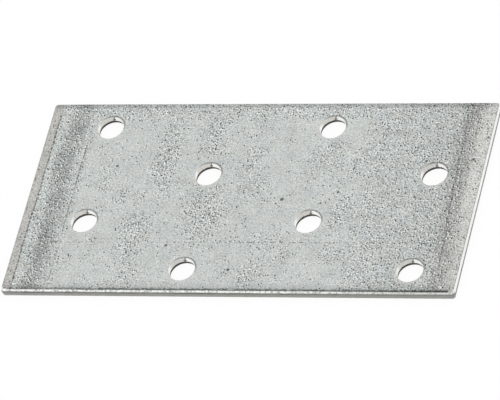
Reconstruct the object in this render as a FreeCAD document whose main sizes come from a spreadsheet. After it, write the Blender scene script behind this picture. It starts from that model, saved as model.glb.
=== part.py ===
import FreeCAD, Part
import math
import os

import Sketcher

# Flat mending plate: one piece of galvanised steel sheet, 80 x 40 x 1.5 mm, slit and sheared to
# size and punched with eight nail holes in a staggered grid. It lies flat as it would on a
# bench. The origin is the middle of the underside, +X runs along the plate, +Z is up, and the
# side that the punch went in from is the top.

V = FreeCAD.Vector
TINY = 0.001  # mm, closer than this counts as the same place
doc = FreeCAD.newDocument("mending_plate")


# Driving dimensions, in millimetres

DIMENSIONS = [
    ("plate_length", 80.0, "end to end, along X"),
    ("plate_width", 40.0, "edge to edge, along Y"),
    ("sheet_thickness", 1.5, "gauge of the sheet"),
    ("corner_radius", 0.6, "the four corners, seen from above"),
    ("edge_roll", 0.4, "radius that the shear draws round the top edge"),
    ("torn_depth", 0.4, "height of the torn band at the foot of the outer edge"),
    ("torn_setback", 0.08, "how far that band leans in at the underside"),
    ("press_width", 1.8, "strip along the left end that the shear pressed down"),
    ("press_depth", 0.07, "how low that strip is at the very end"),
    ("hole_diameter", 4.6, "smooth wall of a nail hole"),
    ("hole_roll", 0.1, "radius that the punch draws round the mouth"),
    ("breakout_depth", 0.5, "height of the torn band at the foot of a hole"),
    ("breakout_flare", 0.06, "how far that band widens, on the radius"),
    ("column_pitch", 20.0, "from one column of holes to the next"),
    ("row_pitch", 10.0, "from one row of holes to the next"),
    ("end_margin", 11.5, "left end to the first column"),
    ("edge_margin", 4.7, "front edge to the first row"),
]

sheet = doc.addObject("Spreadsheet::Sheet", "sizes")
for row, (alias, value, note) in enumerate(DIMENSIONS, start=1):
    sheet.set(f"A{row}", alias)
    sheet.set(f"B{row}", str(value))
    sheet.set(f"C{row}", note)
    sheet.setAlias(f"B{row}", alias)
doc.recompute()


# Sketch and feature helpers

def origin_plane(body, role):
    """The body's own origin plane with this role, such as XY_Plane."""
    return next(item for item in body.Origin.OriginFeatures if item.Role == role)


def new_sketch(body, name, plane_role):
    """An empty sketch flat on one of the body's origin planes."""
    sketch = body.newObject("Sketcher::SketchObject", name)
    sketch.AttachmentSupport = [(origin_plane(body, plane_role), "")]
    sketch.MapMode = "FlatFace"
    return sketch


def drive(sketch, kind, references, formula):
    """Adds one dimension to a sketch and ties it to the sheet."""
    value = sketch.evalExpression(formula)
    index = sketch.addConstraint(Sketcher.Constraint(kind, *references, float(value)))
    sketch.setExpression(f"Constraints[{index}]", formula)


def draw_chain(sketch, points):
    """A closed chain of straight lines, each end joined to the next start."""
    count = len(points)
    lines = []
    for here, there in zip(points, points[1:] + points[:1]):
        lines.append(sketch.addGeometry(Part.LineSegment(V(*here, 0), V(*there, 0)), False))
    for step in range(count):
        following = lines[(step + 1) % count]
        sketch.addConstraint(Sketcher.Constraint("Coincident", lines[step], 2, following, 1))
    return lines


def size(alias):
    """The present value of a size in the sheet."""
    return float(sheet.get(alias))


def must_remove(name, before, after):
    """Stops the build where a cut took nothing away."""
    if after.Volume >= before.Volume:
        raise RuntimeError(f"{name} removed nothing")


# The blank: the outline pushed up to the thickness of the sheet

plate = doc.addObject("PartDesign::Body", "plate")
plate.Label = "plate"


def make_blank():
    half_length = size("plate_length") / 2
    half_width = size("plate_width") / 2
    outline = new_sketch(plate, "outline", "XY_Plane")
    corners = [
        (-half_length, -half_width),
        (half_length, -half_width),
        (half_length, half_width),
        (-half_length, half_width),
    ]
    front, right, back, left = draw_chain(outline, corners)
    for line in (front, back):
        outline.addConstraint(Sketcher.Constraint("Horizontal", line))
    for line in (right, left):
        outline.addConstraint(Sketcher.Constraint("Vertical", line))
    outline.addConstraint(Sketcher.Constraint("Symmetric", front, 1, right, 2, -1, 1))
    drive(outline, "DistanceX", (front, 1, front, 2), "sizes.plate_length")
    drive(outline, "DistanceY", (right, 1, right, 2), "sizes.plate_width")
    blank = plate.newObject("PartDesign::Pad", "blank")
    blank.Profile = outline
    blank.setExpression("Length", "sizes.sheet_thickness")
    doc.recompute()
    return blank


def edge_names(shape, wanted):
    """Names of the shape's edges that the test picks."""
    return [f"Edge{index}" for index, edge in enumerate(shape.Edges, start=1) if wanted(edge)]


def is_upright(edge):
    box = edge.BoundBox
    return box.ZLength > size("sheet_thickness") / 2 and box.XLength + box.YLength < TINY


def round_corners(blank):
    corners = plate.newObject("PartDesign::Fillet", "corners")
    corners.Base = (blank, edge_names(blank.Shape, is_upright))
    corners.setExpression("Radius", "sizes.corner_radius")
    doc.recompute()
    return corners


# The pressed strip: a shallow slope along the left end, a wedge cut away right across

def press_left_end(base):
    left = -size("plate_length") / 2
    top = size("sheet_thickness")
    wedge = new_sketch(plate, "press_wedge", "XZ_Plane")
    points = [
        (left, top - size("press_depth")),
        (left + size("press_width"), top),
        (left, top),
    ]
    slope, lid, end = draw_chain(wedge, points)
    wedge.addConstraint(Sketcher.Constraint("Horizontal", lid))
    wedge.addConstraint(Sketcher.Constraint("Vertical", end))
    drive(wedge, "DistanceX", (end, 1, -1, 1), "sizes.plate_length / 2")
    drive(wedge, "DistanceY", (-1, 1, end, 1), "sizes.sheet_thickness")
    drive(wedge, "DistanceX", (slope, 1, slope, 2), "sizes.press_width")
    drive(wedge, "DistanceY", (slope, 1, slope, 2), "sizes.press_depth")
    press = plate.newObject("PartDesign::Pocket", "press")
    press.Profile = wedge
    press.Type = "ThroughAll"
    press.Midplane = True
    doc.recompute()
    must_remove("press", base.Shape, press.Shape)
    return press


# The cut outer edge: rolled over at the top, leaning in where it tore off below

def touches_outer_wall(edge, shape):
    """True for an edge between an upright outer wall and some other face."""
    walls = 0
    for face in shape.ancestorsOfType(edge, Part.Face):
        normal = face.normalAt(*face.Surface.parameter(face.CenterOfMass))
        walls += abs(normal.z) < TINY
    return walls == 1


def roll_top_edge(base):
    shape = base.Shape
    middle = size("sheet_thickness") / 2
    roll = plate.newObject("PartDesign::Fillet", "edge_roll")
    roll.Base = (base, edge_names(
        shape, lambda edge: edge.BoundBox.ZMin > middle and touches_outer_wall(edge, shape)))
    roll.setExpression("Radius", "sizes.edge_roll")
    doc.recompute()
    return roll


def tear_bottom_edge(base):
    shape = base.Shape
    torn = plate.newObject("PartDesign::Chamfer", "torn_edge")
    torn.Base = (base, edge_names(shape, lambda edge: edge.BoundBox.ZMax < TINY))
    torn.ChamferType = "Two distances"
    torn.setExpression("Size", "sizes.torn_depth")
    torn.setExpression("Size2", "sizes.torn_setback")
    doc.recompute()
    must_remove("torn_edge", base.Shape, torn.Shape)
    reach = max(edge.BoundBox.XMax for edge in torn.Shape.Edges if edge.BoundBox.ZMax < TINY)
    if abs(reach - size("plate_length") / 2 + size("torn_setback")) > TINY:
        raise RuntimeError("the torn band leans the wrong way")
    return torn


# A nail hole as the punch leaves it: mouth drawn round, smooth wall, then the flare where the
# slug broke out. The section is turned about the hole's own axis.

def punch(name, base, column, row):
    """One hole, counted in columns and rows from the left front hole position."""
    land = size("hole_diameter") / 2
    top = size("sheet_thickness")
    roll = size("hole_roll")
    flare = size("breakout_flare")
    depth = size("breakout_depth")

    section = new_sketch(plate, name + "_section", "XZ_Plane")
    section.setExpression(
        "AttachmentOffset.Base.x",
        f"-sizes.plate_length / 2 + sizes.end_margin + {column} * sizes.column_pitch")
    section.setExpression(
        "AttachmentOffset.Base.z",
        f"sizes.plate_width / 2 - sizes.edge_margin - {row} * sizes.row_pitch")

    points = [(0, 0), (land + flare, 0), (land, depth), (land, top - roll), (land + roll, top), (0, top)]
    straight = []
    for here, there in ((0, 1), (1, 2), (2, 3), (4, 5), (5, 0)):
        line = Part.LineSegment(V(*points[here], 0), V(*points[there], 0))
        straight.append(section.addGeometry(line, False))
    floor, broken, wall, lid, axis = straight
    circle = Part.Circle(V(land + roll, top - roll, 0), V(0, 0, 1), roll)
    mouth = section.addGeometry(Part.ArcOfCircle(circle, math.pi / 2, math.pi), False)
    joined = [
        (axis, 2, floor, 1), (floor, 2, broken, 1), (broken, 2, wall, 1), (lid, 2, axis, 1),
    ]
    for joint in joined:
        section.addConstraint(Sketcher.Constraint("Coincident", *joint))
    section.addConstraint(Sketcher.Constraint("Tangent", wall, 2, mouth, 2))
    section.addConstraint(Sketcher.Constraint("Tangent", mouth, 1, lid, 1))
    section.addConstraint(Sketcher.Constraint("Coincident", floor, 1, -1, 1))
    section.addConstraint(Sketcher.Constraint("Horizontal", floor))
    section.addConstraint(Sketcher.Constraint("Horizontal", lid))
    section.addConstraint(Sketcher.Constraint("Vertical", wall))
    section.addConstraint(Sketcher.Constraint("Vertical", axis))
    drive(section, "DistanceX", (-1, 1, wall, 1), "sizes.hole_diameter / 2")
    drive(section, "DistanceX", (wall, 1, floor, 2), "sizes.breakout_flare")
    drive(section, "DistanceY", (floor, 2, wall, 1), "sizes.breakout_depth")
    drive(section, "Radius", (mouth,), "sizes.hole_roll")
    drive(section, "DistanceY", (-1, 1, lid, 2), "sizes.sheet_thickness")

    hole = plate.newObject("PartDesign::Groove", name)
    hole.Profile = section
    hole.ReferenceAxis = (section, ["V_Axis"])
    hole.Angle = 360
    doc.recompute()
    must_remove(name, base.Shape, hole.Shape)
    return hole


def repeat_hole(name, hole):
    """The hole four times: every other column, every other row."""
    grid = plate.newObject("PartDesign::MultiTransform", name)
    grid.Originals = [hole]
    steps = []
    directions = (("along", "X_Axis", "column_pitch"), ("across", "Y_Axis", "row_pitch"))
    for word, role, pitch in directions:
        step = plate.newObject("PartDesign::LinearPattern", f"{name}_{word}")
        step.Direction = (origin_plane(plate, role), [""])
        step.Occurrences = 2
        step.setExpression("Length", f"2 * sizes.{pitch}")
        steps.append(step)
    grid.Transformations = steps
    plate.Tip = grid
    doc.recompute()
    must_remove(name, hole.Shape, grid.Shape)
    return grid


blank = make_blank()
corners = round_corners(blank)
pressed = press_left_end(corners)
rolled = roll_top_edge(pressed)
torn = tear_bottom_edge(rolled)
first_hole = punch("front_hole", torn, 1, 0)
first_set = repeat_hole("front_set", first_hole)
second_hole = punch("back_hole", first_set, 0, 1)
second_set = repeat_hole("back_set", second_hole)
plate.Tip = second_set
doc.recompute()


# Checks, then the file

for item in doc.Objects:
    if {"Invalid", "Error"} & set(item.State):
        raise RuntimeError(f"{item.Name} did not build: {item.State}")

if plate.Shape.isNull() or not plate.Shape.isValid():
    raise RuntimeError("the plate has no sound shape")
if len(plate.Shape.Solids) != 1:
    raise RuntimeError("the plate is not one solid")

box = plate.Shape.BoundBox
print(f"plate {box.XLength:.3f} x {box.YLength:.3f} x {box.ZLength:.3f} mm, "
      f"{plate.Shape.Volume:.1f} cubic mm, {len(plate.Shape.Faces)} faces")

os.makedirs("parts", exist_ok=True)
plate.Shape.exportStep(f"parts/{plate.Label}.step")
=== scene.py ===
# %% [markdown]
# # A galvanised mending plate
#
# This lesson dresses one small piece of hardware: a flat plate of galvanised steel sheet with
# eight nail holes. The frame that is loaded here is the exact model of the plate. Everything
# that follows is made in the same place and at the same size, so nothing has to be fitted.

# %% Load the frame
import math

import bmesh
import bpy
from mathutils import Matrix, Vector, noise


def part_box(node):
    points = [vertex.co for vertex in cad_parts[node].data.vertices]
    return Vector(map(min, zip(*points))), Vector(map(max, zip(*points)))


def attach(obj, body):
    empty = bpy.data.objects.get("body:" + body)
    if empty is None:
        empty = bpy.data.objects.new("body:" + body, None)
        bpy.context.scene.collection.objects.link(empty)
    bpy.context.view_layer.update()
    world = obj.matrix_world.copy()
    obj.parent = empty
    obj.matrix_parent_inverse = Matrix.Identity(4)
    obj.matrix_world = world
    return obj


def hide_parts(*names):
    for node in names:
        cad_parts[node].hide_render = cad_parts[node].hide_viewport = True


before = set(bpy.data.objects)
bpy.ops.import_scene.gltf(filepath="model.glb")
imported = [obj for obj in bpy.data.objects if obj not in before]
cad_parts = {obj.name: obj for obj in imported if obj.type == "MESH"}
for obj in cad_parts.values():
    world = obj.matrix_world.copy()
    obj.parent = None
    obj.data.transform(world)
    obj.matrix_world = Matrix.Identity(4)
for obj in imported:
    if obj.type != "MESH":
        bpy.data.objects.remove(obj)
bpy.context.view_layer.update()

# %% [markdown]
# ## Sizes
#
# Blender works in metres, but a maker thinks of a plate like this in millimetres. The numbers
# could be written in metres throughout, but then every one would be a row of zeros. Here one
# value, MM, turns one into the other. The length, width and gauge are read from the frame. The
# grid of holes and the small forms that the tools leave on the edges are those of the real one.

# %% Sizes of the plate
MM = 0.001
low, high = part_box("plate")
HALF_LENGTH = high.x / MM
HALF_WIDTH = high.y / MM
GAUGE = high.z / MM

CORNER_RADIUS = 0.6
EDGE_ROLL = 0.4
TORN_DEPTH = 0.4
TORN_SETBACK = 0.08
PRESS_WIDTH = 1.8
PRESS_DEPTH = 0.07
PRESS_END = PRESS_WIDTH - HALF_LENGTH

HOLE_RADIUS = 2.3
MOUTH_ROLL = 0.1
BREAKOUT_DEPTH = 0.5
BREAKOUT_FLARE = 0.06
COLUMN_PITCH = 20.0
ROW_PITCH = 10.0
COLUMNS = 4
ROWS = 4
LEFT_MARGIN = 11.5
FRONT_MARGIN = 4.7
FIRST_COLUMN = LEFT_MARGIN - HALF_LENGTH
FIRST_ROW = FRONT_MARGIN - HALF_WIDTH
print(f"plate {2 * HALF_LENGTH:.1f} x {2 * HALF_WIDTH:.1f} x {GAUGE:.2f} mm")

# %% [markdown]
# ## Camera
#
# The plate was photographed from the right front, well above it, and the camera was turned
# until the long edges lay level. A camera could be aimed with a constraint that tracks a target,
# but then the turn would need a second object. Here its place and directions are worked out: it
# looks along its own minus Z, with its own Y up. Its place is found by going back from the point
# that it looks at, and the turn about the line of sight comes last. Blender takes the lens and
# the sensor in millimetres, and the distance in metres.

# %% Camera
LENS = 438.6
SENSOR = 36.0
AIM = Vector((-0.43, 0.40, 0.0)) * MM
DISTANCE = 1.0178
ELEVATION = math.radians(47.74)
AZIMUTH = math.radians(-31.28)
TURN = math.radians(24.09)


def make_camera():
    level = math.cos(ELEVATION)
    sight = Vector((math.sin(AZIMUTH) * level, math.cos(AZIMUTH) * level, -math.sin(ELEVATION)))
    data = bpy.data.cameras.new("camera")
    data.sensor_width = SENSOR
    data.lens = LENS
    camera = bpy.data.objects.new("camera", data)
    bpy.context.scene.collection.objects.link(camera)
    upright = sight.to_track_quat("-Z", "Y").to_matrix().to_4x4()
    turned = upright @ Matrix.Rotation(-TURN, 4, "Z")
    camera.matrix_world = Matrix.Translation(AIM - sight * DISTANCE) @ turned
    bpy.context.scene.camera = camera
    return camera


camera = make_camera()
print("camera stands at, metres:", [round(value, 4) for value in camera.matrix_world.translation])

# %% [markdown]
# ## Sums on sockets
#
# A material is a web of nodes, and a sum of three numbers already takes two of them. The web
# could be linked node by node, but nobody could read the sums in it. The small class below wraps
# one output socket, so that a sum is written as on paper, such as 1 - mask * 0.5, and each
# operator adds its Math node. Colours have methods of their own, because a Math node would turn
# them grey. One method, node, makes any other kind of node. Its settings go in first, because
# some of them change which sockets the node has.

# %% A wire from one socket to the next


class Wire:
    """One output socket, on which sums can be written."""

    def __init__(self, tree, socket):
        self.tree = tree
        self.socket = socket

    def node(self, kind, settings=None, inputs=None, output=0):
        made = self.tree.nodes.new(kind)
        for name, value in (settings or {}).items():
            setattr(made, name, value)
        for key, value in (inputs or {}).items():
            if isinstance(value, Wire):
                self.tree.links.new(value.socket, made.inputs[key])
            else:
                made.inputs[key].default_value = value
        return Wire(self.tree, made.outputs[output])

    def math(self, operation, *values):
        return self.node("ShaderNodeMath", {"operation": operation}, dict(enumerate(values)))

    def __add__(self, other):
        return self.math("ADD", self, other)

    __radd__ = __add__

    def __sub__(self, other):
        return self.math("SUBTRACT", self, other)

    def __rsub__(self, other):
        return self.math("SUBTRACT", other, self)

    def __mul__(self, other):
        return self.math("MULTIPLY", self, other)

    __rmul__ = __mul__

    def __truediv__(self, other):
        return self.math("DIVIDE", self, other)

    def __abs__(self):
        return self.math("ABSOLUTE", self)

    def at_least(self, other):
        return self.math("MAXIMUM", self, other)

    def at_most(self, other):
        return self.math("MINIMUM", self, other)

    def rise(self, start, end):
        """0 before start, 1 after end and a soft step between. start may be the larger one."""
        inputs = {"Value": self, "From Min": start, "From Max": end}
        return self.node("ShaderNodeMapRange", {"interpolation_type": "SMOOTHSTEP"}, inputs)

    def hump(self, middle, half_width):
        """1 at the middle, falling softly to 0 at the half width on each side."""
        return abs(self - middle).rise(half_width, 0.0)

    def cover(self, share, colour):
        """This colour with another one laid over it, as far as the share says."""
        # A Mix node has its two colours at inputs 6 and 7, and the mixed one at output 2
        inputs = {"Factor": share, 6: self, 7: colour}
        return self.node("ShaderNodeMix", {"data_type": "RGBA"}, inputs, 2)

    def scaled(self, level):
        """This colour or vector, made larger or smaller by a number."""
        return self.node("ShaderNodeVectorMath", {"operation": "SCALE"}, {0: self, "Scale": level})

    def part(self, axis):
        """One of the three numbers of a vector."""
        return self.node("ShaderNodeSeparateXYZ", None, {0: self}, axis)

    def paint(self, colour):
        """A plain colour, to start from."""
        plain = self.node("ShaderNodeRGB")
        plain.socket.default_value = colour
        return plain


def tone(red, green, blue):
    """A colour as a screen shows it, 0 to 255, turned to the linear light of a shader."""
    linear = []
    for value in (red, green, blue):
        share = value / 255
        linear.append(share / 12.92 if share <= 0.04045 else ((share + 0.055) / 1.055) ** 2.4)
    return (*linear, 1.0)


def new_material(name):
    """An empty material, its tree and its output node."""
    material = bpy.data.materials.new(name)
    material.use_nodes = True
    tree = material.node_tree
    tree.nodes.clear()
    return material, tree, tree.nodes.new("ShaderNodeOutputMaterial")


print("a grey that reads 128 is", round(tone(128, 128, 128)[0], 3), "in linear light")

# %% [markdown]
# ## White table and soft light
#
# The plate lies on white, in light that comes from all sides, as in a light tent. The tent could
# be built of white walls, but a white world does the same with less noise. A wide lamp overhead
# adds the faint shadow below the edges, and a smaller one from the back left gives the grain of
# the coat its sparkle. The table is plain white paint. Part of it glows, but only for the camera
# and for reflections, so that it comes out paper white and still keeps the shadow.

# %% What is seen directly
FLOOR_HALF = 3.0
FLOOR_GLOW = 0.92
TENT_LEVEL = 0.95
WHITE = (1.0, 1.0, 1.0, 1.0)


def seen_directly(tree):
    """1 for what the camera sees, straight, in a reflection or through glass."""
    rays = tree.nodes.new("ShaderNodeLightPath")
    seen = Wire(tree, rays.outputs["Is Camera Ray"])
    for name in ("Is Glossy Ray", "Is Transmission Ray"):
        seen = seen.at_least(Wire(tree, rays.outputs[name]))
    return seen


print(f"table {2 * FLOOR_HALF:.0f} m square, glow {FLOOR_GLOW}, tent {TENT_LEVEL}")

# %% Table, tent and lamps


def make_table():
    paint, tree, output = new_material("white_table")
    seen = seen_directly(tree)
    matt = seen.node("ShaderNodeBsdfDiffuse", None, {"Color": WHITE})
    glow = seen.node("ShaderNodeEmission", None, {"Color": WHITE})
    mixed = seen.node("ShaderNodeMixShader", None, {0: seen * FLOOR_GLOW, 1: matt, 2: glow})
    tree.links.new(mixed.socket, output.inputs["Surface"])
    data = bpy.data.meshes.new("table")
    corners = [(-FLOOR_HALF, -FLOOR_HALF, 0), (FLOOR_HALF, -FLOOR_HALF, 0),
               (FLOOR_HALF, FLOOR_HALF, 0), (-FLOOR_HALF, FLOOR_HALF, 0)]
    data.from_pydata(corners, [], [(0, 1, 2, 3)])
    data.materials.append(paint)
    table = bpy.data.objects.new("table", data)
    bpy.context.scene.collection.objects.link(table)


def make_tent():
    world = bpy.data.worlds.new("light_tent")
    bpy.context.scene.world = world
    world.use_nodes = True
    tree = world.node_tree
    tree.nodes.clear()
    level = TENT_LEVEL + (1 - TENT_LEVEL) * seen_directly(tree)
    tent = level.node("ShaderNodeBackground", None, {"Color": WHITE, "Strength": level})
    output = tree.nodes.new("ShaderNodeOutputWorld")
    tree.links.new(tent.socket, output.inputs["Surface"])


def make_lamp(name, place, size, power):
    data = bpy.data.lights.new(name, "AREA")
    data.shape = "SQUARE"
    data.size = size
    data.energy = power
    lamp = bpy.data.objects.new(name, data)
    bpy.context.scene.collection.objects.link(lamp)
    lamp.location = place
    lamp.rotation_euler = (-Vector(place)).to_track_quat("-Z", "Y").to_euler()


make_table()
make_tent()
make_lamp("overhead", place=(0.1, -0.1, 1.2), size=1.0, power=0.8)
make_lamp("back_left", place=(-0.5, 0.8, 0.9), size=0.4, power=0.2)

# %% [markdown]
# ## The blank
#
# The sheet is cut on a shear. The blade first bends the top edge over, then cuts a smooth band,
# and at last the rest tears off, so that the foot of the edge is rough and leans in. Along the
# left end the blade also pressed a narrow strip down. A box with a bevel would give the same
# round edge above and below, so the blank is made like a moulding instead: one section, swept
# round the outline. The torn rows are moved inwards by a noise, never outwards, which keeps the
# plate inside its size.

# %% Section and outline of the blank
ROLL_STEPS = 8
TORN_STEPS = 5
CORNER_STEPS = 6
OUTLINE_STEP = 0.4
FLAT_RIM = 0.2
TORN_BITE = 0.05
TEARS_ALONG = 1.9
TEARS_UP = 6.0


def edge_section():
    """The section from the underside up to the top: name of the stretch, inset and height."""
    rows = [("flat", TORN_SETBACK + FLAT_RIM, 0.0)]
    for step in range(TORN_STEPS + 1):
        share = step / TORN_STEPS
        rows.append(("torn", TORN_SETBACK * (1 - share), TORN_DEPTH * share))
    for step in range(ROLL_STEPS + 1):
        angle = math.radians(90 * step / ROLL_STEPS)
        inset = EDGE_ROLL * (1 - math.cos(angle))
        rows.append(("rolled", inset, GAUGE - EDGE_ROLL * (1 - math.sin(angle))))
    rows.append(("rolled", EDGE_ROLL + FLAT_RIM, GAUGE))
    return rows


def side_stops(run, pressed_at):
    """Even steps along one side, one of them moved to where the pressed strip begins."""
    count = round(2 * run / OUTLINE_STEP)
    stops = [-run + 2 * run * step / count for step in range(count + 1)]
    if pressed_at is not None:
        nearest = min(range(count + 1), key=lambda index: abs(stops[index] - pressed_at))
        stops[nearest] = pressed_at
    return stops


def outline_points():
    """Places round the outline, anticlockwise, each with the direction that faces outwards."""
    points = []
    for quarter in range(4):
        turn = math.radians(90 * quarter)
        outward = Vector((round(math.cos(turn)), round(math.sin(turn))))
        along = Vector((-outward.y, outward.x))
        lengthways = quarter % 2 == 1
        reach, run = (HALF_WIDTH, HALF_LENGTH) if lengthways else (HALF_LENGTH, HALF_WIDTH)
        run -= CORNER_RADIUS
        pressed_at = PRESS_END * along.x if lengthways else None
        for stop in side_stops(run, pressed_at):
            points.append((outward * reach + along * stop, outward))
        centre = outward * (reach - CORNER_RADIUS) + along * run
        for step in range(1, CORNER_STEPS):
            angle = turn + math.radians(90 * step / CORNER_STEPS)
            away = Vector((math.cos(angle), math.sin(angle)))
            points.append((centre + away * CORNER_RADIUS, away))
    return points


def pressed_by(x):
    """How far the shear has pressed the top down, at this distance along the plate."""
    return PRESS_DEPTH * max(0.0, 1 - (x + HALF_LENGTH) / PRESS_WIDTH)


def torn_bite(x, y, z):
    """How deep the tear runs into the edge here, never less than nothing."""
    place = Vector((x * TEARS_ALONG, y * TEARS_ALONG, z * TEARS_UP))
    # Three layers of noise, each twice as fine as the one before and weaker
    wave = noise.fractal(place, 0.6, 2.0, 3)
    return TORN_BITE * max(0.0, 0.5 + 0.5 * wave)


print("rows in the section:", len(edge_section()), "points round it:", len(outline_points()))

# %% The blank as a mesh


def make_blank():
    outline = outline_points()
    count = len(outline)
    mesh = bmesh.new()
    rings = []
    for stretch, inset, height in edge_section():
        ring = []
        for place, outward in outline:
            bite = torn_bite(place.x, place.y, height) if stretch == "torn" else 0.0
            at = place - outward * (inset + bite)
            drop = pressed_by(at.x) if stretch == "rolled" else 0.0
            ring.append(mesh.verts.new(Vector((at.x, at.y, height - drop)) * MM))
        rings.append(ring)
    for below, above in zip(rings, rings[1:]):
        for here in range(count):
            there = (here + 1) % count
            mesh.faces.new((below[here], below[there], above[there], above[here]))
    mesh.faces.new(list(reversed(rings[0])))
    lid = mesh.faces.new(rings[-1])
    # The top gets an edge of its own where the pressed strip begins
    crease = PRESS_END * MM
    ends = [vertex for vertex in rings[-1] if abs(vertex.co.x - crease) < MM / 100]
    bmesh.utils.face_split(lid, ends[0], ends[1])
    data = bpy.data.meshes.new("blank")
    mesh.to_mesh(data)
    mesh.free()
    blank = bpy.data.objects.new("galvanised_plate", data)
    bpy.context.scene.collection.objects.link(blank)
    return blank


blank = make_blank()
print("blank:", len(blank.data.vertices), "points,", len(blank.data.polygons), "faces")

# %% [markdown]
# ## Punching the holes
#
# Eight cylinders could be set down by hand, but the holes are better made as in the factory: one
# punch, set down again and again on a grid. The grid is staggered, so that every other point is
# left out. Geometry Nodes suit this, because the rule is short and every copy is the same tool.
# The punch starts as a plain cylinder whose rings are then moved to the form of the hole: wider
# at the foot, where the slug breaks out, straight in the middle, and drawn round at the mouth. A
# boolean cuts the copies out of the blank. The rows at the foot are shaken by a noise after the
# copies are set down, so that no two holes tear alike.

# %% Inputs of the punching tree
PUNCH_SIDES = 120
PUNCH_THIRD = 10
PUNCH_CLEAR = 0.2
MOUTH_END = math.radians(80)
TEAR_SIZE = 0.35
TEAR_REACH = 0.06


def punch_sizes():
    """The named inputs of the tree, in millimetres."""
    return {
        "Hole radius": HOLE_RADIUS,
        "Mouth roll": MOUTH_ROLL,
        "Breakout depth": BREAKOUT_DEPTH,
        "Breakout flare": BREAKOUT_FLARE,
        "Tear": TEAR_REACH,
        "Gauge": GAUGE,
        "Column pitch": COLUMN_PITCH,
        "Row pitch": ROW_PITCH,
        "First column": FIRST_COLUMN,
        "First row": FIRST_ROW,
    }


def start_tree():
    """A tree with its inputs and its output, and the inputs as wires."""
    tree = bpy.data.node_groups.new("punching", "GeometryNodeTree")
    sockets = tree.interface
    sockets.new_socket("Blank", in_out="INPUT", socket_type="NodeSocketGeometry")
    for name in punch_sizes():
        sockets.new_socket(name, in_out="INPUT", socket_type="NodeSocketFloat")
    sockets.new_socket("Finish", in_out="INPUT", socket_type="NodeSocketMaterial")
    sockets.new_socket("Plate", in_out="OUTPUT", socket_type="NodeSocketGeometry")
    entry = tree.nodes.new("NodeGroupInput")
    given = {socket.name: Wire(tree, socket) for socket in entry.outputs if socket.name}
    return tree, given


print("inputs of the punching tree:", ", ".join(punch_sizes()))

# %% One punch, shaped from a cylinder


def shape_punch(given):
    """A cylinder whose lower, middle and upper thirds become foot, wall and mouth."""
    radius, roll = given["Hole radius"], given["Mouth roll"]
    depth, flare, gauge = given["Breakout depth"], given["Breakout flare"], given["Gauge"]
    cylinder = radius.node("GeometryNodeMeshCylinder", {"fill_type": "NGON"}, {
        "Vertices": PUNCH_SIDES, "Side Segments": 3 * PUNCH_THIRD, "Radius": 1.0, "Depth": 1.0})
    place = radius.node("GeometryNodeInputPosition")
    thirds = (place.part(2) + 0.5) * 3
    flared = (1 - thirds).at_least(0.0)
    straight = (thirds - 1).at_least(0.0).at_most(1.0)
    opened = (thirds - 2).at_least(0.0).at_most(1.0)
    last_ring = thirds.math("GREATER_THAN", thirds, 2.99)
    angle = (opened * (MOUTH_END * PUNCH_THIRD / (PUNCH_THIRD - 1))).at_most(MOUTH_END)
    height = (depth * (1 - flared) - PUNCH_CLEAR * flared
              + (gauge - roll - depth) * straight
              + roll * angle.math("SINE", angle) + PUNCH_CLEAR * last_ring)
    widened = flare * flared * ((depth + PUNCH_CLEAR) / depth)
    reach = radius + widened + roll * (1 - angle.math("COSINE", angle))
    moved = radius.node("ShaderNodeCombineXYZ", None, {
        0: place.part(0) * reach * MM, 1: place.part(1) * reach * MM, 2: height * MM})
    return radius.node("GeometryNodeSetPosition", None, {"Geometry": cylinder, "Position": moved})


print("each punch has", PUNCH_SIDES, "sides and", 3 * PUNCH_THIRD, "rows")

# %% The staggered grid


def staggered_points(given):
    """Points for the holes, with the test that leaves out every other one."""
    column_pitch, row_pitch = given["Column pitch"], given["Row pitch"]
    grid = column_pitch.node("GeometryNodeMeshGrid", None, {
        "Size X": column_pitch * ((COLUMNS - 1) * MM),
        "Size Y": row_pitch * ((ROWS - 1) * MM),
        "Vertices X": COLUMNS, "Vertices Y": ROWS})
    middle = column_pitch.node("ShaderNodeCombineXYZ", None, {
        0: (given["First column"] + column_pitch * ((COLUMNS - 1) / 2)) * MM,
        1: (given["First row"] + row_pitch * ((ROWS - 1) / 2)) * MM})
    placed = grid.node("GeometryNodeTransform", None, {"Geometry": grid, "Translation": middle})
    index = grid.node("GeometryNodeInputIndex")
    column = index.math("FLOOR", index / ROWS)
    used = index.math("FLOORED_MODULO", index + column, 2.0)
    return placed, used.math("GREATER_THAN", used, 0.5)


print("points on the grid:", COLUMNS * ROWS, "of which every other one gets a hole")

# %% The torn feet and the cut


def tear_feet(given, punches):
    """Shakes the rows at the foot of every punch, each hole in its own way."""
    place = punches.node("GeometryNodeInputPosition")
    shake = place.node("ShaderNodeTexNoise", None, {
        "Vector": place, "Scale": 1 / (TEAR_SIZE * MM), "Detail": 2.0}, "Color")
    centred = shake.node("ShaderNodeVectorMath", {"operation": "SUBTRACT"}, {
        0: shake, 1: (0.5, 0.5, 0.5)})
    depth = given["Breakout depth"]
    foot = (place.part(2) / MM).rise(depth, depth * 0.6)
    offset = centred.scaled(foot * given["Tear"] * MM)
    sideways = offset.node("ShaderNodeVectorMath", {"operation": "MULTIPLY"}, {
        0: offset, 1: (1.0, 1.0, 0.0)})
    return punches.node("GeometryNodeSetPosition", None, {
        "Geometry": punches, "Offset": sideways})


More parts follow.
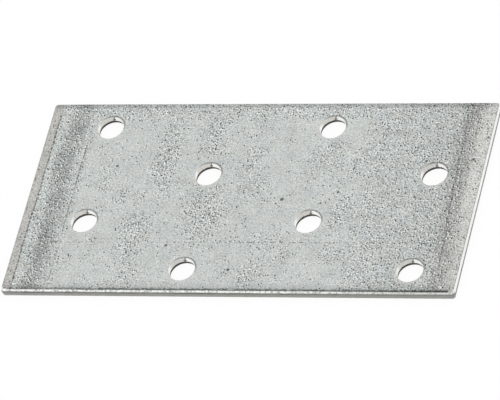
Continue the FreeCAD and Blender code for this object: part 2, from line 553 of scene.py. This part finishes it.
def punching_tree():
    """The whole tree: grid, punches, torn feet, cut and finish."""
    tree, given = start_tree()
    blank = given["Blank"]
    points, used = staggered_points(given)
    copies = blank.node("GeometryNodeInstanceOnPoints", None, {
        "Points": points, "Selection": used, "Instance": shape_punch(given)})
    punches = blank.node("GeometryNodeRealizeInstances", None, {"Geometry": copies})
    cut = blank.node("GeometryNodeMeshBoolean", {"operation": "DIFFERENCE", "solver": "EXACT"}, {
        "Mesh 1": blank, "Mesh 2": tear_feet(given, punches)})
    whole = blank.node("GeometryNodeRealizeInstances", None, {"Geometry": cut})
    finished = blank.node("GeometryNodeSetMaterial", None, {
        "Geometry": whole, "Material": given["Finish"]})
    leave = tree.nodes.new("NodeGroupOutput")
    tree.links.new(finished.socket, leave.inputs["Plate"])
    return tree


punching = punching_tree()
print("nodes in the punching tree:", len(punching.nodes))

# %% [markdown]
# ## Knowing the place on the plate
#
# The finish differs from place to place: the coat on the faces, the bright cut edge, the walls
# of the holes. A painted picture could be wrapped round the plate, but it would be blurred from
# nearby. Instead the material works out from the place of a point, in millimetres, how far it is
# from the edges and from the nearest hole. The holes lie on two plain grids that are shifted
# against each other, and the Wrap operation folds a whole grid onto one hole, so that two
# distances do for all eight.

# %% Places and noises
USUAL_SWING = 0.2
DOT_RIM = 0.46
DOT_CORE = 0.22


class Surface:
    """The place of a point on the plate, in millimetres, and noises that follow it."""

    def __init__(self, tree):
        self.tree = tree
        coordinates = tree.nodes.new("ShaderNodeTexCoord")
        self.place = Wire(tree, coordinates.outputs["Object"]).scaled(1 / MM)
        self.x = self.place.part(0)
        self.y = self.place.part(1)
        self.z = self.place.part(2)
        self.left_gap = self.x + HALF_LENGTH
        self.right_gap = HALF_LENGTH - self.x
        self.front_gap = self.y + HALF_WIDTH
        self.back_gap = HALF_WIDTH - self.y
        self.on_top = self.z.rise(GAUGE / 2, GAUGE / 2 + 0.1)
        self.find_hole()

    def find_hole(self):
        """Distance from the middle of the nearest hole, and the bearing from it in degrees."""
        front_x, front_y, front_far = self.from_grid(1, 0)
        back_x, back_y, back_far = self.from_grid(0, 1)
        nearer = front_far.math("LESS_THAN", front_far, back_far)
        across = front_x * nearer + back_x * (1 - nearer)
        along = front_y * nearer + back_y * (1 - nearer)
        self.hole_gap = front_far.at_most(back_far)
        self.bearing = along.math("ARCTAN2", along, across) * math.degrees(1)

    def from_grid(self, column, row):
        """Offset and distance from the nearest hole of the set that starts here."""
        across = self.x - (FIRST_COLUMN + column * COLUMN_PITCH)
        along = self.y - (FIRST_ROW + row * ROW_PITCH)
        across = across.math("WRAP", across, COLUMN_PITCH, -COLUMN_PITCH)
        along = along.math("WRAP", along, ROW_PITCH, -ROW_PITCH)
        distance = across.math("SQRT", across * across + along * along)
        return across, along, distance

    def grain(self, size, detail=2.0, stretch=(1.0, 1.0, 1.0), seed=0.0):
        """A noise whose grains are about this many millimetres across, between 0 and 1."""
        moved = self.place.node("ShaderNodeVectorMath", {"operation": "MULTIPLY_ADD"}, {
            0: self.place, 1: stretch, 2: (seed, seed * 1.7, seed * 0.6)})
        return moved.node("ShaderNodeTexNoise", None, {
            "Vector": moved, "Scale": 1 / size, "Detail": detail, "Roughness": 0.6})

    def swing(self, size, detail=2.0, stretch=(1.0, 1.0, 1.0), seed=0.0):
        """The same noise, swinging to both sides of nought."""
        return self.grain(size, detail, stretch, seed) - 0.5

    def wander(self, size, reach, seed):
        """A slow swing to and fro along Y, for lines that are not quite straight."""
        swing = self.swing(size, stretch=(0.0, 1.0, 0.0), seed=seed)
        return swing * (reach / USUAL_SWING)

    def dots(self, size, share, seed=0.0):
        """Round dots in cells of this size, as many as the share says. The seed moves them."""
        moved = self.place.node("ShaderNodeVectorMath", {"operation": "ADD"}, {
            0: self.place, 1: (seed, seed * 0.8, seed * 0.3)})
        cells = {"Vector": moved, "Scale": 1 / size}
        distance = moved.node("ShaderNodeTexVoronoi", None, cells, "Distance")
        luck = Wire(self.tree, distance.socket.node.outputs["Color"])
        chosen = (share - luck.part(0)).rise(-0.04, 0.04)
        return distance.rise(DOT_RIM, DOT_CORE) * chosen * (0.45 + luck.part(1) * 0.55)


def blot(across, along, reach_x, reach_y, core=0.35):
    """1 in the core of a soft oval, 0 outside it, from the offsets to its middle."""
    wide = across / reach_x
    tall = along / reach_y
    return wide.math("SQRT", wide * wide + tall * tall).rise(1.0, core)


print("the two sets of holes are shifted by", COLUMN_PITCH, "and", ROW_PITCH, "mm")

# %% [markdown]
# ## The zinc coat
#
# Zinc on steel sheet is a pale, slightly cool grey. Where the coat is rough it is full of tiny
# dark pits, and where it is smooth there are few. The pits are darker zinc with painted shade of
# their relief, and beside each one sits a bright fleck, a painted glint where the relief would
# catch the light. The pits could be modelled, but there are thousands of them and each is as
# small as a pixel. Here they are the dots of a Voronoi pattern, one to a cell, and the same
# pattern, read a little to one side, gives the painted glints. A soft mask says which share of
# the cells has its dot, and so makes the rough patches. The painted glints are brightest in the
# two dull bands near the ends, so the bands are placed first. All of it ends in one number, the
# level, that makes the grey lighter or darker.

# %% Rough patches
PATCHES = [
    # middle x, middle y, reach along x, reach along y, how rough
    (-26.5, 4.5, 3.0, 5.5, 0.55),
    (-23.0, 0.0, 3.5, 3.5, 0.5),
    (-20.5, 16.0, 2.5, 3.5, 0.5),
    (-16.6, 8.0, 3.4, 13.0, 1.0),
    (-18.8, -8.5, 4.0, 8.5, 0.95),
    (-18.5, -17.0, 4.0, 6.0, 0.7),
    (-9.0, 13.5, 4.2, 8.0, 1.0),
    (-7.3, -3.0, 6.0, 10.0, 1.0),
    (-1.0, 7.5, 3.5, 4.5, 0.75),
    (-2.0, 14.5, 5.0, 5.0, 0.4),
    (0.0, 2.0, 6.0, 5.0, 0.6),
    (3.5, -16.0, 4.0, 5.0, 0.7),
    (5.0, -9.5, 5.0, 3.0, 0.5),
    (8.0, -12.5, 3.5, 3.5, 0.6),
    (12.0, 8.0, 6.5, 5.5, 0.65),
    (17.0, -3.0, 3.4, 6.0, 0.95),
    (17.0, -12.0, 3.5, 4.0, 0.6),
    (18.0, 7.5, 3.2, 5.5, 0.8),
    (22.0, 15.0, 5.0, 5.0, 0.95),
    (28.5, 9.5, 5.0, 5.0, 1.1),
    (24.0, -9.0, 4.5, 4.0, 1.0),
]
PATCH_CORE = 0.15
PATCH_DRIFT = 1.0


def rough_share(surface):
    """How rough the coat is, from 0 to about 1."""
    drift = surface.swing(3.0, seed=3.0) * (PATCH_DRIFT / USUAL_SWING)
    across = surface.x + drift
    along = surface.y + surface.swing(3.0, seed=23.0) * (PATCH_DRIFT / USUAL_SWING)
    rough = surface.grain(3.0, seed=29.0).rise(0.45, 0.7) * 0.3
    for x, y, reach_x, reach_y, amount in PATCHES:
        patch = blot(across - x, along - y, reach_x, reach_y, PATCH_CORE)
        rough = rough.at_least(patch * amount)
    right_end = (surface.x + drift * 0.4).rise(18.0, 20.5) * 0.6 + surface.x.rise(30.0, 33.0) * 0.2
    left_end = surface.x.rise(-30.5, -31.5) * 0.5 + surface.x.hump(-35.0, 3.5) * 0.4
    back_margin = surface.y.rise(15.5, 17.5) * 0.65
    rough = rough.at_least(right_end).at_least(left_end).at_least(back_margin)
    ironed = (surface.x.rise(37.2, 38.2) * 0.55).at_least(surface.x.rise(-37.9, -38.4) * 0.6)
    return rough * (1 - ironed)


print("rough patches:", len(PATCHES))

# %% Where the dull bands run
LEFT_BAND = (-36.9, -35.8, -34.8, -31.6)
RIGHT_BAND = 35.6
RIGHT_BAND_HALF = 2.7
RIGHT_SHIFT = 0.9


def right_lean(surface):
    """0 at the back of the right end and 1 at its front, where the band lies nearer the end."""
    return surface.y.rise(2.0, -16.0)


def dull_bands(surface):
    """The two dull bands that run across the plate, the left and the right one."""
    begins, full, fades, ends = LEFT_BAND
    across = surface.x + surface.wander(7.0, 0.7, 11.0)
    left = across.rise(begins, full) * across.rise(ends, fades)
    lean = right_lean(surface) * RIGHT_SHIFT
    across = surface.x + surface.wander(6.0, 0.6, 17.0) - lean
    return left, across.hump(RIGHT_BAND, RIGHT_BAND_HALF)


print(f"dull bands: x {LEFT_BAND[0]} to {LEFT_BAND[-1]} mm, and round x {RIGHT_BAND} mm")

# %% Pits and painted glints
PIT_CELL = 0.42
PIT_SEED = 19.0
FLECK_SHIFT = 0.16


def speckle(surface, rough, dull):
    """Change of level from the pits, darker zinc with painted shade, and the painted glints beside
    them, and the pits alone.
    """
    clouds = surface.swing(2.6, 3.0, seed=5.0)
    fine = surface.swing(0.25, seed=7.0)
    share = 0.07 + rough * 0.65
    # The pits are darker zinc with painted shade of their relief
    pits = surface.dots(PIT_CELL, share, PIT_SEED)
    # Painted glints: a bright fleck beside each pit, where its relief would catch the light
    fleck_glints = surface.dots(PIT_CELL, share, PIT_SEED + FLECK_SHIFT) * (1 - pits)
    level = clouds * 0.35 + fine * (1.4 + rough * 2.7) - pits * 0.95 - rough * 0.045
    return level + fleck_glints * (0.25 + rough * 0.35 + dull * 0.8), pits


print("at most one pit to a cell of", PIT_CELL, "mm, its fleck", FLECK_SHIFT, "mm to one side")

# %% [markdown]
# ## Bands and marks
#
# The sheet came off a roll and through a shear, and both leave traces that run across it: a
# darker band near each end, a smooth strip that the blade pressed down along the left end with
# a row of dots beside it, a dotted line further in, and a paler strip at the right end. Then
# there are the marks of handling: a long broken scratch, a few short ones and dark spots, and
# two painted highlights near the front corners. One brush stroke each could be painted by hand.
# A short list of places does the same and can be changed at any time.

# %% Level of the bands
PALE_END = (37.0, 38.4)


def band_level(surface, left_band, right_band):
    """Change of level from one end of the plate to the other."""
    patchy = 1 + surface.swing(3.0, 3.0, (1.0, 0.5, 1.0), 13.0) * 1.6
    right_end = surface.x.rise(17.5, 33.0)
    lean = right_lean(surface)
    pale_end = (surface.x - lean * RIGHT_SHIFT).rise(*PALE_END) * (0.16 - lean * 0.1)
    bands = left_band * patchy * 0.3 + right_band * (0.18 + surface.y.rise(-6.0, 12.0) * 0.07)
    return pale_end - bands - right_end * 0.07


def rim_level(surface):
    """Change of level beside the edges: painted shade along the back, where the roll faces away,
    painted shade at the front, and painted shade on the roll of the left end.
    """
    back_shade = (surface.back_gap + surface.swing(0.8, 3.0, seed=37.0) * 0.5).rise(1.2, 0.9)
    front = surface.front_gap.rise(2.2, 0.5)
    left = surface.left_gap.rise(0.35, 0.15)
    pale = blot(surface.x - 8.0, surface.back_gap - 3.0, 11.0, 3.5)
    return pale * 0.05 - left * 0.12 - back_shade * 0.24 - front * 0.2


print(f"paler strip from x {PALE_END[0]} mm to the right end")

# %% Places of the marks
SPOTS = [
    # x, y, radius
    (5.9, -0.6, 0.5),
    (-12.5, -10.35, 0.4),
    (-0.3, -15.4, 0.4),
    (-25.3, 6.45, 0.34),
    (-16.7, 9.85, 0.34),
    (39.4, 12.5, 0.34),
    (37.8, 7.9, 0.34),
    (29.6, 7.5, 0.34),
    (15.5, 0.9, 0.38),
    (12.9, -1.4, 0.3),
]
# Painted highlights near the two front corners
GLINTS = [
    # x, y, radius
    (-38.0, -18.6, 0.6),
    (37.4, -18.7, 0.6),
]
SCRATCHES = [
    # from x, from y, to x, to y, half width, strength, the three at x -32 being the dotted line
    (-0.6, -13.2, -0.3, -14.3, 0.14, 0.5),
    (37.4, 10.4, 39.1, 10.9, 0.10, 0.35),
    (38.0, -8.3, 39.4, -8.2, 0.10, 0.3),
    (38.0, -9.0, 39.2, -8.9, 0.10, 0.3),
    (37.9, -2.6, 39.5, -2.5, 0.10, 0.2),
    (-3.6, 3.1, -0.1, 3.05, 0.08, 0.25),
    (-31.9, 10.8, -31.9, 1.0, 0.2, 0.8),
    (-31.9, 1.0, -31.8, -8.7, 0.2, 0.65),
    (-31.8, -8.7, -31.7, -18.0, 0.2, 0.3),
    (31.0, 0.2, 31.5, -1.5, 0.10, 0.2),
]
print("spots:", len(SPOTS), "bright highlights:", len(GLINTS), "strokes:", len(SCRATCHES))

# %% Lines, scratches and spots
SPOT_STRENGTH = 0.75
GLINT_STRENGTH = 0.5
LONG_SCRATCH = -9.67
LONG_SCRATCH_STRENGTH = 0.75
RIGHT_LINE = 35.15
RIGHT_LINE_SLANT = 0.036


def stroke(surface, start_x, start_y, end_x, end_y, half_width):
    """1 along a straight stroke, soft at its sides and ends."""
    length = math.hypot(end_x - start_x, end_y - start_y)
    step_x = (end_x - start_x) / length
    step_y = (end_y - start_y) / length
    from_x = surface.x - start_x
    from_y = surface.y - start_y
    along = from_x * step_x + from_y * step_y
    aside = from_x * step_y - from_y * step_x
    return aside.hump(0.0, half_width) * along.hump(length / 2, length / 2 + 0.15).rise(0.0, 0.1)


def mark_level(surface):
    """Change of level from everything that is a line or a spot."""
    x, y = surface.x, surface.y
    dots = surface.grain(0.45, seed=41.0).rise(0.44, 0.56)
    press_line = (x + surface.wander(3.0, 0.12, 43.0)).hump(PRESS_END, 0.26)
    press_line = press_line * y.rise(18.5, 16.5)
    right_line = x + (y - 15.0) * RIGHT_LINE_SLANT + surface.wander(3.0, 0.25, 47.0)
    right_line = right_line.hump(RIGHT_LINE, 0.3) * y.rise(16.5, 14.5) * y.rise(-15.0, -11.0)
    gaps = surface.grain(0.5, 2.0, (1.0, 0.4, 1.0), 53.0).rise(0.47, 0.6)
    long_scratch = y.hump(LONG_SCRATCH, 0.15) * gaps * x.rise(-36.0, -30.0) * x.rise(36.0, 33.0)
    level = press_line * (0.15 + dots * 0.7) + right_line * (0.12 + dots * 0.25)
    level = level + long_scratch * LONG_SCRATCH_STRENGTH
    for start_x, start_y, end_x, end_y, half_width, strength in SCRATCHES:
        line = stroke(surface, start_x, start_y, end_x, end_y, half_width)
        level = level.at_least(line * (0.3 + dots * 0.7) * strength)
    for spot_x, spot_y, radius in SPOTS:
        spot = blot(x - spot_x, y - spot_y, radius, radius)
        level = level.at_least(spot * SPOT_STRENGTH)
    # Painted highlights near the front corners make the coat lighter
    for glint_x, glint_y, radius in GLINTS:
        glint = blot(x - glint_x, y - glint_y, radius, radius * 0.5)
        level = level - glint * GLINT_STRENGTH
    return 0 - level


print(f"long scratch at y {LONG_SCRATCH} mm, line in the right band at x {RIGHT_LINE} mm")

# %% [markdown]
# ## Cut edges and hole walls
#
# Where the tools cut, they left steel with only a breath of zinc on it. From the top down the
# outer edge has painted shade where the roll begins, a bright band of burnished steel that carries
# a painted highlight, a thin dark seam and a dull torn band. The wall of a hole is burnished too,
# and every one has the same dark stripe at the same bearing, a painted dark reflection, with
# painted highlights beside it and on the left side of the wall. At the foot the wall is torn,
# rough steel made darker still by painted shade. Round its mouth each hole has painted shade at
# the back and a ring of painted highlight at the front. Each could have a material of its own,
# but a mask in the one material lets the colours meet in ragged lines that don't follow the faces
# of the mesh.

# %% Colours of the outer edge
TORN_FOOT = tone(160, 160, 156)
TORN_UPPER = tone(150, 150, 146)
TORN_STREAK = tone(136, 135, 131)
# The dark seam of the cut edge, and painted shade round the back of each hole's mouth
DARK_SEAM_AND_SHADE = tone(84, 84, 80)
PLAIN_CUT = tone(176, 177, 173)
# Burnished steel made near white by a painted highlight
BURNISHED_HIGHLIGHT = tone(252, 253, 250)
FADED_CUT = tone(186, 186, 182)
SEAM_HEIGHT = 1.03
BRIGHT_BAND = (1.18, 1.3)
CUT_TOP = 1.15
# The underside keeps its coat, up to these heights
UNDERSIDE = (0.0005, 0.003)


def cut_edge(surface):
    """Colour of the outer edge, by height, its burnished band brightened by a painted highlight
    that is strongest at the right end.
    """
    streaks = surface.grain(0.5, 2.0, (0.6, 0.6, 1.6), 59.0)
    glints = surface.grain(0.4, 3.0, seed=61.0)
    right = surface.right_gap.rise(0.9, 0.6) * surface.front_gap.rise(0.3, 0.8)
    fading = surface.x.rise(5.0, 36.0) * surface.front_gap.rise(0.8, 0.5)
    torn = surface.z.paint(TORN_FOOT).cover(surface.z.rise(0.2, 0.9), TORN_UPPER)
    torn = torn.cover(streaks.rise(0.35, 0.65) * 0.5, TORN_STREAK)
    # Where the burnished band gets its painted highlight, always at the right end
    burnish_and_glint = glints.rise(0.34, 0.56).at_least(right * 0.85)
    burnish_and_highlight = surface.z.paint(PLAIN_CUT).cover(burnish_and_glint, BURNISHED_HIGHLIGHT)
    burnish_and_highlight = burnish_and_highlight.cover(fading * 0.5, FADED_CUT)
    height = surface.z + (streaks - 0.5) * 0.2 + right * 0.5
    deep = surface.grain(2.4, seed=97.0).rise(0.4, 0.62)
    seam = height.hump(SEAM_HEIGHT, 0.22) * (0.5 + deep * 0.45) * (1 - fading * 0.6)
    return torn.cover(seam, DARK_SEAM_AND_SHADE).cover(height.rise(*BRIGHT_BAND), burnish_and_highlight)


def edge_share(surface):
    """1 on the cut outer edge, which begins higher on the roll at the front and the right."""
    front = surface.front_gap.rise(1.0, 0.8)
    # At the front and the right the edge colours, with their painted highlight, reach higher up
    # the roll
    top = CUT_TOP + front.at_least(surface.right_gap.rise(1.0, 0.8)) * 0.25 + front * 0.07
    gap = surface.left_gap.at_most(surface.right_gap)
    gap = gap.at_most(surface.front_gap).at_most(surface.back_gap)
    below = (top - surface.z).rise(-0.03, 0.03)
    return below * gap.rise(0.45, 0.4) * surface.z.rise(*UNDERSIDE)


def roll_shade(surface):
    """Painted shade: the dark ragged line where the roll of the front edge begins."""
    teeth = surface.swing(0.45, seed=73.0)
    wider = surface.x.rise(10.0, 34.0) * 0.14
    gap = surface.front_gap + teeth * (1.0 - wider * 3.0)
    line = (gap + wider).rise(0.19, 0.3) * gap.rise(0.88, 0.42)
    breaks = surface.grain(1.2, 2.0, (1.0, 0.2, 1.0), 79.0).rise(0.25, 0.5)
    strength = 0.45 + 0.55 * surface.x.rise(-36.0, -26.0) + 0.3 * surface.x.rise(26.0, 34.0)
    return line * (0.6 + 0.4 * breaks) * strength * surface.x.rise(39.1, 38.8)


print("the bright band of the edge begins", BRIGHT_BAND[0], "mm above the underside")

# %% Colours of the holes
DRAWN_WALL = tone(218, 216, 211)
DRAWN_STREAK = tone(194, 192, 188)
# Painted highlight on the hole walls
HIGHLIGHT_WALL = tone(252, 252, 250)
# Painted dark reflection, a stripe at the same bearing in every hole
DARK_REFLECTION = tone(80, 78, 74)
# Torn steel at the foot of the wall, darkened by painted shade
TORN_AND_SHADED_WALL = tone(62, 60, 57)
# Painted highlight round the front of each hole's mouth
HIGHLIGHT_RING = tone(204, 203, 200)
REFLECTION_BEARING = 93.0
RIM_BEARING = 65.0


def hole_wall(surface):
    """Colour of a hole's wall, by height and by the way round the hole, with a painted dark
    reflection, painted highlights and painted shade at the torn foot.
    """
    bearing, z = surface.bearing, surface.z
    drawn = surface.grain(0.4, 2.0, (1.0, 1.0, 0.2), 67.0)
    wall = z.paint(DRAWN_WALL).cover(drawn.rise(0.4, 0.7) * 0.5, DRAWN_STREAK)
    # Painted highlights: near white beside the dark stripe and on the left side of the wall
    beside_reflection = bearing.rise(REFLECTION_BEARING, REFLECTION_BEARING - 7.0) * bearing.rise(-20.0, 10.0)
    wall = wall.cover(beside_reflection, HIGHLIGHT_WALL)
    wall = wall.cover(abs(bearing).rise(150.0, 172.0), HIGHLIGHT_WALL)
    # Painted dark reflection: one dark stripe at the same bearing in every hole
    dark_reflection = (bearing + (z - 0.8) * 8.0).hump(REFLECTION_BEARING, 5.0)
    dark_reflection = dark_reflection.at_least(blot(bearing - REFLECTION_BEARING + 1.0, z - 0.85, 11.0, 0.25))
    wall = wall.cover(dark_reflection * 0.9, DARK_REFLECTION)
    # The torn foot is rough steel, made darker by painted shade
    ragged = z + surface.swing(0.35, seed=71.0) * 0.25
    torn = ragged.rise(BREAKOUT_DEPTH + 0.1, BREAKOUT_DEPTH)
    return wall.cover(torn, TORN_AND_SHADED_WALL)


def wall_share(surface):
    """1 on the wall of a hole, 0 on the faces round it."""
    upper = surface.hole_gap.rise(HOLE_RADIUS + 0.05, HOLE_RADIUS + 0.03)
    lower = surface.hole_gap.rise(HOLE_RADIUS + 0.12, HOLE_RADIUS + 0.1)
    return upper.at_least(lower * surface.z.rise(0.62, 0.55))


def hole_mouth_light(surface, colour):
    """Lays painted shade round the back of a hole's mouth and a ring of painted highlight round
    its front.
    """
    turned = (surface.bearing - RIM_BEARING) * math.radians(1)
    # Painted shade on the back of the mouth, painted highlight on its front
    back = turned.math("COSINE", turned).rise(0.1, 0.75)
    gap = surface.hole_gap - HOLE_RADIUS
    rim = gap.rise(0.4, 0.22) * surface.on_top
    ring = gap.rise(0.8, 0.3) * surface.on_top
    colour = colour.cover(ring * (1 - back) * 0.4, HIGHLIGHT_RING)
    return colour.cover(rim * back * 0.6, DARK_SEAM_AND_SHADE)


print("the score stands at", REFLECTION_BEARING, "degrees round every hole")

# %% [markdown]
# ## One material from all of it
#
# The real plate is one piece of steel, so it gets one material. The colours are laid over each
# other from the coat inwards, the wider first, as a painter would do it. The shader is a metal
# with a soft shine, since zinc is bright but not a mirror. The relief of the coat is a few
# hundredths of a millimetre, far below what a mesh should carry, and so it is left to Bump.

# %% The finished galvanised steel
ZINC = tone(190, 195, 194)
ZINC_TINT = tone(192, 195, 192)
WARM_ZINC = tone(193, 192, 188)
# Painted shade on the roll at the right end
END_SHADE = tone(150, 151, 148)
# Painted shade where the roll of the front edge begins
ROLL_SHADE = tone(64, 66, 62)
METAL_SHARE = 0.9
SOFTNESS = 0.42
RELIEF = 0.03
PIT_DEPTH = 0.02


def coat_colour(surface, rough_level, bands):
    """Colour of the coat on both faces, with its bands and marks, painted shade and painted
    highlights on the upper one.
    """
    strip = surface.x.rise(PRESS_END + 0.1, PRESS_END - 0.1) * surface.on_top
    marks = band_level(surface, *bands) + rim_level(surface) + mark_level(surface)
    level = (1 + rough_level) * (1 + (marks - strip * 0.12) * surface.on_top)
    warm = (surface.x.rise(32.0, 38.0) * 0.8).at_least(strip)
    tint = surface.grain(2.5, seed=101.0).rise(0.35, 0.65)
    coat = surface.z.paint(ZINC).cover(tint, ZINC_TINT).cover(warm, WARM_ZINC)
    return coat.scaled(level.at_least(0.1))


def galvanised_steel():
    """The one material of the plate, laid up from the coat inwards."""
    material, tree, output = new_material("galvanised_steel")
    surface = Surface(tree)
    rough = rough_share(surface)
    bands = dull_bands(surface)
    rough_level, pits = speckle(surface, rough, bands[0] + bands[1])
    side = edge_share(surface)
    walls = wall_share(surface)

    colour = coat_colour(surface, rough_level, bands)
    # Painted shade on the roll at the right end
    end_shade = surface.right_gap.hump(0.2, 0.14) * surface.on_top
    colour = colour.cover(end_shade * 0.45, END_SHADE)
    colour = colour.cover(roll_shade(surface) * surface.on_top * 0.85, ROLL_SHADE)
    colour = colour.cover(side, cut_edge(surface))
    colour = hole_mouth_light(surface, colour)
    colour = colour.cover(walls, hole_wall(surface))

    relief = (surface.swing(0.5, 3.0, seed=83.0) * RELIEF - pits * PIT_DEPTH) * (1 - walls)
    bump = relief.node("ShaderNodeBump", None, {"Strength": 0.5, "Distance": MM, "Height": relief})
    roughness = SOFTNESS + rough * 0.1 - side * 0.08 - walls * 0.08
    metal = tree.nodes.new("ShaderNodeBsdfPrincipled")
    metal.inputs["Metallic"].default_value = METAL_SHARE
    for name, wire in (("Base Color", colour), ("Roughness", roughness), ("Normal", bump)):
        tree.links.new(wire.socket, metal.inputs[name])
    tree.links.new(metal.outputs[0], output.inputs["Surface"])
    return material


zinc = galvanised_steel()
print("nodes in the zinc material:", len(zinc.node_tree.nodes))

# %% [markdown]
# ## From the tree to a plain mesh
#
# The tree could stay on the plate as a modifier, but copies that live only in a modifier are
# lost on the way to other programs. So its inputs are filled in by their identifiers, it is
# evaluated once, and the result is kept as a plain mesh. Edges sharper than the roll's own steps
# stay crisp, and Weighted Normal lets the large flat faces lead, so that the light runs over
# them without waves.

# %% Punch the blank
SHARP_ANGLE = math.radians(35)


def as_plain_mesh(piece, name):
    """Turns what the modifiers make of a piece into its own mesh, and removes them."""
    depsgraph = bpy.context.evaluated_depsgraph_get()
    mesh = bpy.data.meshes.new_from_object(piece.evaluated_get(depsgraph))
    mesh.name = name
    piece.modifiers.clear()
    piece.data = mesh
    return mesh


def punch_plate(blank, tree, finish):
    """Runs the tree on the blank, keeps the result and evens out its shading."""
    modifier = blank.modifiers.new("punching", "NODES")
    modifier.node_group = tree
    values = dict(punch_sizes(), Finish=finish)
    for item in tree.interface.items_tree:
        if item.name in values:
            modifier[item.identifier] = values[item.name]
    mesh = as_plain_mesh(blank, "punched_plate")
    mesh.shade_smooth()
    mesh.set_sharp_from_angle(angle=SHARP_ANGLE)
    leading = blank.modifiers.new("flat faces lead", "WEIGHTED_NORMAL")
    leading.keep_sharp = True
    leading.weight = 100
    as_plain_mesh(blank, "galvanised_plate")
    return blank


plate = punch_plate(blank, punching, zinc)
triangles = sum(len(face.vertices) - 2 for face in plate.data.polygons)
print("plate:", len(plate.data.polygons), "faces,", triangles, "triangles")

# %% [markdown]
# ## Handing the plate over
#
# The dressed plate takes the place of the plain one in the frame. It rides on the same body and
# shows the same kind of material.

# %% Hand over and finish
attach(plate, "root")
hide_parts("plate")
bpy.context.scene.view_settings.view_transform = "Standard"
